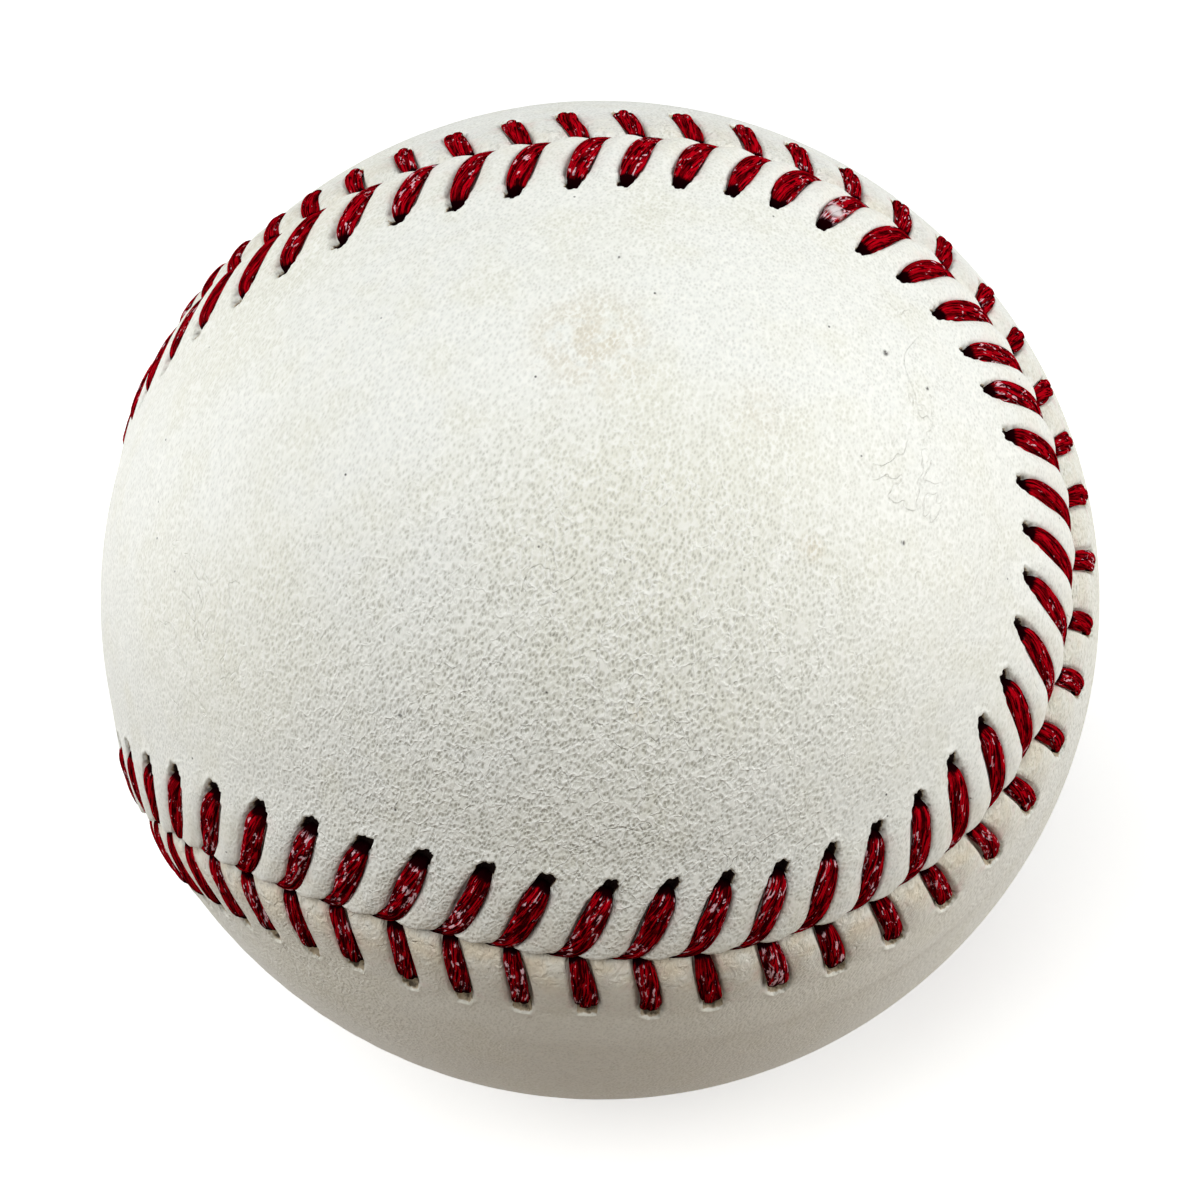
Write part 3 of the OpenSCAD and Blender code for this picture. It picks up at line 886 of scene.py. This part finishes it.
# The front panel's stains and specks: a place, the radii in millimetres within which a mark is
# full and beyond which it is gone, and a stain's strength
STAINS = [((6.4, -18.2, 31.6), 0.5, 5.5, 0.45), ((18.8, -24.8, 20.0), 0.1, 1.3, 0.45),
          ((8.2, -33.0, 14.6), 0.05, 0.7, 0.5), ((16.2, -19.7, 26.8), 0.2, 3.0, 0.2)]
SPECKS = [((23.6, -12.1, 25.8), 0.08, 0.3), ((24.1, -21.7, 17.9), 0.06, 0.26),
          ((7.9, -12.2, 34.0), 0.03, 0.16), ((26.0, -12.4, 23.2), 0.04, 0.2),
          ((-5.9, -33.1, 15.5), 0.05, 0.2)]


def alum_tanned_leather(colours, side):
    """Full-grain cowhide, tanned with alum and finished white. Hair pores 0.2 mm apart, drawn
    out along the hair's lie, are dark dashes with pale ridges between them, and fine wrinkles
    part them in fields of 0.8 mm; the dashes are painted shade and the pale lines partly
    painted highlight. The hide is duller and yellower in patches, with handling marks, stray
    dark specks, dried creases, and dye rubbed off beside the thread. Painted shade darkens its
    holes, the seam's gap, the groove beside the thread and the front's coarse grain, and warms
    the back along one stretch of the seam."""
    front = side == FRONT
    material, tree, shader, place = new_finish(
        "alum_tanned_leather_" + ("front" if front else "back"), {"Roughness": 0.5})
    slanted = add_node(tree, "Mapping", {"Vector": place, "Rotation": HAIR_LEAN,
                                         "Scale": HAIR_STRETCH_SHARES}, vector_type="TEXTURE")
    swirl = add_node(tree, "TexNoise", {"Vector": place, "Scale": per(FIELD_SIZE)}, "Color")
    bent, wavy = [add_node(tree, "VectorMath", (swirl, 3 * [push * MM], slanted),
                           operation="MULTIPLY_ADD") for push in SWIRLS]
    vectors = {"place": place, "bent": bent, "wavy": wavy}
    noises = {key: add_node(tree, "TexNoise", {
        "Vector": vectors[vector], "Scale": per(size), "Detail": detail, "Roughness": rough,
        "Distortion": bend}) for key, (vector, size, detail, rough, bend)
        in LEATHER_NOISES.items()}
    seam, hole, groove_shade, dye = [add_node(tree, "Attribute", out="Fac", attribute_name=key)
                              for key in ("seam", "hole", "groove_shade", "dye")]
    pores, specks = [add_node(tree, "TexVoronoi", {"Vector": vector, "Scale": per(gap)})
                     for vector, gap in ((bent, PORE_GAP), (place, SPECK_GAP))]
    pore_chance, speck_chance = [add_node(tree, "SeparateColor", (cells.node.outputs["Color"],))
                                 for cells in (pores, specks)]
    fields = add_node(tree, "TexVoronoi", {"Vector": wavy, "Scale": per(FIELD_SIZE)},
                      feature="DISTANCE_TO_EDGE")

    if front:
        coarse = add_node(tree, "Math", (spot(tree, place, COARSE_SHADED_PLACE, 4, 37), 0.32),
                          operation="MAXIMUM")
    else:
        coarse = product_of(tree, (noises["coarse"], 0.35, 0.65, 0.35, 0.65))
    coarse = product_of(tree, coarse, (seam, 0.1, 0.6, 0.8, 1))
    pore = product_of(tree, (pores, 0.14, 0.54, 1, 0), (pore_chance, 0, 0.7, 0.55, 1))
    ridge = product_of(tree, (pores, 0.48, 0.75), (noises["ridges"], 0.35, 0.6, 0.5, 1))
    wrinkle = product_of(tree, (fields, 0, 0.1, 1, 0),
                         (sum_of(tree, noises["wrinkles"], (coarse, 0.2)), 0.56, 0.74))
    crease = add_node(tree, "Math", (sum_of(tree, -0.5, (noises["creases"], 1)),),
                      operation="ABSOLUTE")
    crease = product_of(tree, (crease, 0, 0.006, 1, 0), (noises["creased"], 0.58, 0.66))
    hole = sum_of(tree, -0.25, (noises["tears"], 0.5), (hole, 1))
    hole_dirt_and_shade = product_of(tree, (hole, 0.3, 0.5))
    patchy = product_of(tree, (noises["patches"], 0.4, 0.62, 0, 0.8))
    warmest = 0.2
    marks = []
    if front:
        patchy = product_of(tree, patchy, spot(tree, place, YELLOW_PLACE, 12, 44))
        for centre, near, far, strength in STAINS:
            stain = product_of(tree, spot(tree, place, centre, near, far),
                               (noises["stains"], 0.3, 0.6, 0, strength))
            marks.append((stain, colours.stain))
        marks += [(spot(tree, place, *speck), colours.dirt_and_shade) for speck in SPECKS]
    speck = product_of(tree, (specks, 0.02, 0.07, 1, 0), (speck_chance, 0.6, 0.9))
    # Painted shade: the pores are darkened, and on the front the whole hide is a little darker
    # over the coarse grain, most of all about its middle
    pores_and_shade, ridges_and_highlight = [add_node(tree, "Math", pair, operation="MAXIMUM")
                      for pair in ((pore, 0.12), (ridge, wrinkle))]
    # The pale raised lines of ridges and wrinkles are partly painted highlight
    grain = [(product_of(tree, pores_and_shade, coarse), colours.pore),
             (product_of(tree, ridges_and_highlight, 0.85), colours.ridge), (speck, colours.dirt_and_shade)]
    if not front:
        # Painted warm shade: the back panel's hide is creamier along one stretch of the seam, and
        # warmer beside the seam there
        warm_shade_stretch = spot(tree, place, LOW_SHADE_PLACE, 16, 46)
        grain.append((product_of(tree, warm_shade_stretch, 0.3), colours.cream_and_warm_shade))
        warmest = sum_of(tree, 0.3, (warm_shade_stretch, 0.65))
        hole_dirt_and_shade = product_of(tree, hole_dirt_and_shade, (noises["filling"], 0.44, 0.64, 0.08, 0.8))
    shade = coated(
        tree, list(colours.leather), (patchy, colours.mottle),
        (product_of(tree, (noises["mottles"], 0.45, 0.7, 0, 0.5)), colours.mottle),
        *marks, *grain,
        # Warmer hide beside the seam, warmer still on the back along one stretch as painted warm
        # shade
        (product_of(tree, (seam, 0.1, 0.55, warmest, 0), (noises["warmth"], 0.3, 0.65)),
         colours.cream_and_warm_shade),
        (product_of(tree, dye, (noises["rubbing"], 0.45, 0.75, 0, 0.3 if front else 0.6)),
         colours.dye),
        # Painted shade in the seam's gap
        (product_of(tree, (seam, 0, 0.004 if front else 0.022, 0.85, 0)), colours.dirt_and_shade),
        (product_of(tree, (hole, 0.2, 0.35)), colours.raw_edge),
        # Dark holes: dirt and painted shade
        (hole_dirt_and_shade, colours.dirt_and_shade),
        # Painted shade in the groove beside the thread
        (product_of(tree, groove_shade, 0.5), colours.groove_shade))
    tree.links.new(shade, shader["Base Color"])
    # Painted shade: no gloss comes back out of a hole
    tree.links.new(coated(tree, linear("#ffffff"), (hole_dirt_and_shade, colours.dirt_and_shade)),
                   shader["Specular Tint"])

    height = product_of(tree, sum_of(tree, 0, (ridge, 0.7), (pore, -1), (wrinkle, 0.8)), coarse)
    heights = [(sum_of(tree, height, (noises["fine"], 0.4)), 0.048), (crease, -0.04)]
    if not front:
        heights.append((product_of(tree, noises["drawn"], (seam, 0.1, 0.5, 1, 0)), 0.3))
    raise_surface(tree, shader, *heights, (noises["swell"], 0.1))
    return material


# Where a stitch is worn white
WORN_PLACE = (20.7, -2.1, 31.1)
# The thread's fibres, flecks and clumps: features to 10 mm along it and to a turn, and detail
THREAD_GRAINS = ((8, 34, 4), (14, 17, 4), (9, 6, 3))


def waxed_cotton_thread(colours):
    """Four-ply cotton, dyed crimson and drawn through wax. Fibres 0.1 mm across run along the
    plies in dark streaks, with painted shade in the valleys between the plies and pale flecks
    that are painted highlights. The dye drinks up light and the wax has no gloss, so nothing
    but the flecks stands out. Painted shade darkens it along one stretch of the seam and at
    its hole ends, and one stitch is worn white."""
    material, tree, shader, place = new_finish(
        "waxed_cotton_thread", {"Roughness": 0.42, "Specular IOR Level": 0.0})
    turned = add_node(tree, "UVMap", uv_map="along_thread")
    valley, sunk = [add_node(tree, "Attribute", out="Fac", attribute_name=key)
                    for key in ("valley", "sunk")]
    fibre, fleck, clump = [add_node(tree, "TexNoise", {
        "Vector": add_node(tree, "Mapping", {"Vector": turned, "Scale": (along, round_it, 1)}),
        "Scale": 1.0, "Detail": detail, "Roughness": 0.6, "Distortion": 0.5})
        for along, round_it, detail in THREAD_GRAINS]
    # Painted shade: along one stretch of the seam the thread's dark streaks spread, and its
    # painted highlights grow with them
    shaded_stretch = spot(tree, place, LOW_SHADE_PLACE, 14, 38)
    worn = spot(tree, place, WORN_PLACE, 0.2, 4.5)
    patches = add_node(tree, "TexNoise", {"Vector": place, "Scale": per(6)})
    rough = sum_of(tree, -0.125, (patches, 0.25), (shaded_stretch, 0.03), (worn, 0.1))
    worked = product_of(tree, (sum_of(tree, fibre, (shaded_stretch, -0.04)), 0.52, 0.44))
    # Painted shade in the valleys between the plies
    painted_valley_shade = product_of(tree, (valley, 0.2, 0.6), (clump, 0.35, 0.6, 1, 0.5))
    dark = add_node(tree, "Math", (worked, painted_valley_shade), operation="MAXIMUM")
    # Painted highlights: pale flecks on the thread
    painted_glints = product_of(tree, (sum_of(tree, rough, (fleck, 1)), 0.58, 0.605),
                        (sum_of(tree, rough, (clump, 1)), 0.54, 0.59), 0.95)
    # Painted shade on the thread where it sinks into a hole
    ragged_hole_shade = sum_of(tree, -0.25, (clump, 0.5), (sunk, 1))
    shade = coated(tree, list(colours.thread),
                   (product_of(tree, dark, 0.96), colours.thread_shade),
                   (painted_glints, colours.thread_glint),
                   (spot(tree, place, WORN_PLACE, 0.3, 0.85), linear("#f0e4e4")),
                   (product_of(tree, (ragged_hole_shade, 0.08, 0.2)), colours.thread_hole_shade))
    tree.links.new(shade, shader["Base Color"])
    raise_surface(tree, shader, (sum_of(tree, fibre, (fleck, 0.5)), 0.2))
    return material


def moulded_rubber(name, main, speckle, grain, low, high):
    """Rubber from a mould: one dull colour, a soft bloom in patches, and specks of cork or
    crumb of the grain's size, in millimetres, which also roughen it. Low and high say how
    many of the crumbs are specks."""
    material, tree, shader, place = new_finish(name, {"Roughness": 0.68})
    crumb = add_node(tree, "TexVoronoi", {"Vector": place, "Scale": per(grain)})
    chance = add_node(tree, "SeparateColor", (crumb.node.outputs["Color"],))
    bloom, pits = [add_node(tree, "TexNoise", {"Vector": place, "Scale": per(size),
                                               "Detail": detail})
                   for size, detail in ((5, 4), (0.4, 3))]
    shade = coated(tree, linear(main),
                   (product_of(tree, (bloom, 0.35, 0.7, 0, 0.35)), linear(speckle)),
                   (product_of(tree, (chance, low, high)), linear(speckle)))
    tree.links.new(shade, shader["Base Color"])
    raise_surface(tree, shader, (sum_of(tree, pits, (crumb, 1)), 0.12))
    return material


def wound_yarn(name, main, shadow, strand, patch, fuzz):
    """Yarn wound over a ball in every direction. Each patch of the surface shows strands that
    run one way, a strand apart in millimetres, crossing those of the next patch, with loose
    fibres over them."""
    material, tree, shader, place = new_finish(name, {"Roughness": 0.9, "Sheen Weight": 0.3})
    patches = add_node(tree, "TexVoronoi", {"Vector": place, "Scale": per(patch)}).node.outputs
    centred = add_node(tree, "VectorMath", (patches["Color"], (0.5, 0.5, 0.5)),
                       operation="SUBTRACT")
    crossed = add_node(tree, "VectorMath", (centred, patches["Position"]),
                       operation="CROSS_PRODUCT")
    axis = add_node(tree, "VectorMath", (crossed,), operation="NORMALIZE")
    aside = add_node(tree, "VectorMath", (place, axis), "Value", operation="DOT_PRODUCT")
    wander = add_node(tree, "TexNoise", {"Vector": place, "Scale": per(3 * strand)})
    hair = add_node(tree, "TexNoise", {"Vector": place, "Scale": per(fuzz), "Detail": 4,
                                       "Roughness": 0.7, "Distortion": 1.5})
    turns = sum_of(tree, 0, (aside, math.pi * per(strand)), (wander, 0.6 * math.pi))
    swing = add_node(tree, "Math", (turns,), operation="SINE")
    wave = add_node(tree, "Math", (swing,), operation="ABSOLUTE")
    shade = coated(tree, linear(shadow), (product_of(tree, (wave, 0.1, 0.7)), linear(main)),
                   (product_of(tree, (hair, 0.3, 0.75, 0.35, 0)), linear(shadow)))
    tree.links.new(shade, shader["Base Color"])
    raise_surface(tree, shader, (sum_of(tree, wave, (hair, 0.5)), 0.45 * strand))
    return material


# The CAD nodes inside the cover: their nodes, and the arguments of their materials
RUBBERS = (
    (("cork_core",), ("cork_rubber", "#9a7650", "#5b3d24", 1.6, 0.5, 0.7)),
    (("rubber_half_upper", "rubber_half_lower"),
     ("black_rubber", "#191919", "#2c2b2a", 1.1, 0.85, 0.95)),
    (("gasket_ring",), ("red_gasket_rubber", "#a02a20", "#b9463a", 0.9, 0.85, 0.95)),
    (("red_rubber_shell",), ("red_rubber", "#a5342b", "#bd5648", 1.2, 0.85, 0.95)))
YARNS = (
    (("grey_wool_inner_winding",), ("grey_wool_four_ply", "#a2a19c", "#4e4d4a", 1.5, 11, 0.5)),
    (("white_wool_winding",), ("white_wool_three_ply", "#ece6d8", "#a89f8d", 1.2, 12, 0.45)),
    (("grey_wool_outer_winding",),
     ("grey_wool_three_ply", "#b0aea8", "#5c5b57", 1.2, 13, 0.45)),
    (("cotton_finish_winding",),
     ("cotton_finishing_yarn", "#f1ecdf", "#b9b09c", 0.5, 14, 0.25)))


def dress(kinds, finish):
    """Gives each kind's CAD nodes its material, on their own objects."""
    for node_names, arguments in kinds:
        material = finish(*arguments)
        for node_name in node_names:
            for material_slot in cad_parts[node_name].material_slots:
                material_slot.material = material


# Operators, one for each group of like pieces and one for the stage

class BALL_OT_centre(bpy.types.Operator):
    """Finish the cork core, the rubber shells and the gasket"""
    bl_idname = "baseball.centre"
    bl_label = "Finish Centre"

    def execute(self, context):
        dress(RUBBERS, moulded_rubber)
        return {"FINISHED"}


class BALL_OT_windings(bpy.types.Operator):
    """Finish the four windings of yarn"""
    bl_idname = "baseball.windings"
    bl_label = "Finish Windings"

    def execute(self, context):
        dress(YARNS, wound_yarn)
        return {"FINISHED"}


class BALL_OT_cover(bpy.types.Operator):
    """Cut both leather panels, with their holes, fingers, grooves and lips"""
    bl_idname = "baseball.cover"
    bl_label = "Build Cover"

    def execute(self, context):
        scene = context.scene
        seam = Seam(scene.ball_cover)
        stitches = Stitches(scene.ball_cover, seam)
        for side in (FRONT, BACK):
            panel = build_panel(seam, stitches, scene.ball_cover,
                                scene.ball_thread.arm_width, side)
            finish_piece(panel, alum_tanned_leather(scene.ball_colours, side),
                         "white_leather", PANEL_NODES[side])
        return {"FINISHED"}


class BALL_OT_thread(bpy.types.Operator):
    """Lay both needles' halves of the waxed thread"""
    bl_idname = "baseball.thread"
    bl_label = "Sew Thread"

    def execute(self, context):
        scene = context.scene
        seam = Seam(scene.ball_cover)
        stitches = Stitches(scene.ball_cover, seam)
        material = waxed_cotton_thread(scene.ball_colours)
        for first in (FRONT, BACK):
            half = build_thread(seam, stitches, scene.ball_thread, first)
            finish_piece(half, material, "waxed_thread", THREAD_NODES[first])
        return {"FINISHED"}


# The stage

CAMERA_AZIMUTH = math.radians(12.64)
CAMERA_ELEVATION = math.radians(34.12)
CAMERA_ROLL = math.radians(-10.71)
FLOOR_HALF = 0.6
# The metres from the ball between which the floor's glow grows, and from what to what
FLOOR_GLOW = (0.12, 0.35, 0.5, 1)
SENSOR = 36
# Where the soft boxes stand, as shares to the camera's right, up and towards it
SOFT_BOXES = {"right": (0.92, 0.22, 0.32), "left": (-0.96, 0.2, -0.12),
              "front": (-0.37, 0.44, 0.82)}


def camera_axes():
    """The camera's right, up and backward ways, from its azimuth, elevation and roll."""
    az, el, roll = CAMERA_AZIMUTH, CAMERA_ELEVATION, CAMERA_ROLL
    back = np.array([math.sin(az) * math.cos(el), -math.cos(az) * math.cos(el), math.sin(el)])
    level = np.array([math.cos(az), math.sin(az), 0.0])
    above = np.cross(back, level)
    right = math.cos(roll) * level + math.sin(roll) * above
    up = math.cos(roll) * above - math.sin(roll) * level
    return right, up, back


def point_at_ball(thing, place, right, up, back):
    """Puts a camera or lamp at a place, looking back along its third way."""
    matrix = np.identity(4)
    matrix[:3, 0], matrix[:3, 1], matrix[:3, 2], matrix[:3, 3] = right, up, back, place
    thing.matrix_world = matrix.T.tolist()
    bpy.context.scene.collection.objects.link(thing)


def soft_box(name, shares, level, sizes):
    """A square soft box, whose power gives white leather facing it that level."""
    right, up, back = camera_axes()
    toward = unit(shares[0] * right + shares[1] * up + shares[2] * back)
    data = bpy.data.lights.new(name, "AREA")
    data.size = sizes.lamp_size
    data.energy = level * math.pi ** 2 * sizes.lamp_distance ** 2
    aside = unit(np.cross([0.0, 0.0, 1.0], toward))
    point_at_ball(bpy.data.objects.new(name, data), toward * sizes.lamp_distance, aside,
                  np.cross(toward, aside), toward)


def seen_ray(tree):
    """1 for rays that look at a thing directly, in a reflection or through something."""
    rays = add_node(tree, "LightPath").node.outputs
    seen = 0
    for ray in ("Is Camera Ray", "Is Glossy Ray", "Is Transmission Ray"):
        seen = add_node(tree, "Math", (seen, rays[ray]), operation="MAXIMUM")
    return seen


def pale_floor():
    """Painted board: white where it is seen, more so away from the ball, duller and warmer in
    the light that it throws back on the ball, and it keeps the ball's shadow."""
    material = bpy.data.materials.new("painted_board")
    tree = empty_tree(material)
    bounce, shown = [add_node(tree, "BsdfDiffuse", {"Color": linear(hex_colour)})
                     for hex_colour in ("#654c22", "#f4f4f2")]
    place = add_node(tree, "TexCoord", out="Object")
    away = add_node(tree, "VectorMath", (place,), "Value", operation="LENGTH")
    glow = add_node(tree, "Emission", {"Strength": product_of(tree, (away, *FLOOR_GLOW))})
    lit = add_node(tree, "AddShader", (shown, glow))
    mixed = add_node(tree, "MixShader", (seen_ray(tree), bounce, lit))
    add_node(tree, "OutputMaterial", {"Surface": mixed})
    return material


class BALL_OT_stage(bpy.types.Operator):
    """Set the floor, the soft boxes, the room's light and the camera"""
    bl_idname = "baseball.stage"
    bl_label = "Set Stage"

    def execute(self, context):
        scene = context.scene
        sizes = scene.ball_stage
        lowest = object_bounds()[0].z
        corners = [(x * FLOOR_HALF, y * FLOOR_HALF, lowest)
                   for x, y in ((-1, -1), (1, -1), (1, 1), (-1, 1))]
        floor = make_mesh("floor", corners, [(0, 1, 2, 3)])
        floor.data.materials.append(pale_floor())
        floor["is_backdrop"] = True
        for name, shares in SOFT_BOXES.items():
            soft_box(name + "_box", shares, getattr(sizes, name + "_level"), sizes)

        world = bpy.data.worlds.new("room")
        tree = empty_tree(world)
        level = product_of(tree, (seen_ray(tree), 0, 1, sizes.world_level, 1))
        room = add_node(tree, "Background", {"Color": linear("#ffffff"), "Strength": level})
        add_node(tree, "OutputWorld", {"Surface": room})
        scene.world = world

        data = bpy.data.cameras.new("camera")
        data.sensor_width = data.sensor_height = SENSOR
        data.lens = sizes.lens
        data.clip_start = 5 * MM
        camera = bpy.data.objects.new("camera", data)
        right, up, back = camera_axes()
        point_at_ball(camera, back * sizes.camera_distance, right, up, back)
        scene.camera = camera
        scene.view_settings.view_transform = "Standard"
        return {"FINISHED"}


class BALL_PT_sidebar(bpy.types.Panel):
    """The ball's sizes and colours, and the operators that build it"""
    bl_label = "Hand-sewn Baseball"
    bl_idname = "BALL_PT_sidebar"
    bl_space_type = "VIEW_3D"
    bl_region_type = "UI"
    bl_category = "Baseball"

    def draw(self, context):
        for operator in OPERATORS:
            self.layout.operator(operator.bl_idname)
        for key, group in SETTINGS.items():
            box = self.layout.box()
            for name in group.__annotations__:
                box.prop(getattr(context.scene, key), name)


OPERATORS = (BALL_OT_centre, BALL_OT_windings, BALL_OT_cover, BALL_OT_thread, BALL_OT_stage)
CLASSES = tuple(SETTINGS.values()) + OPERATORS + (BALL_PT_sidebar,)


def register():
    for each in CLASSES:
        bpy.utils.register_class(each)
    for key, group in SETTINGS.items():
        setattr(bpy.types.Scene, key, PointerProperty(type=group))


def unregister():
    for key in SETTINGS:
        delattr(bpy.types.Scene, key)
    for each in reversed(CLASSES):
        bpy.utils.unregister_class(each)


def main():
    """Builds the ball and its stage."""
    register()
    bpy.ops.baseball.centre()
    bpy.ops.baseball.windings()
    bpy.ops.baseball.cover()
    bpy.ops.baseball.thread()
    bpy.ops.baseball.stage()
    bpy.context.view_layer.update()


if __name__ == "__main__":
    main()
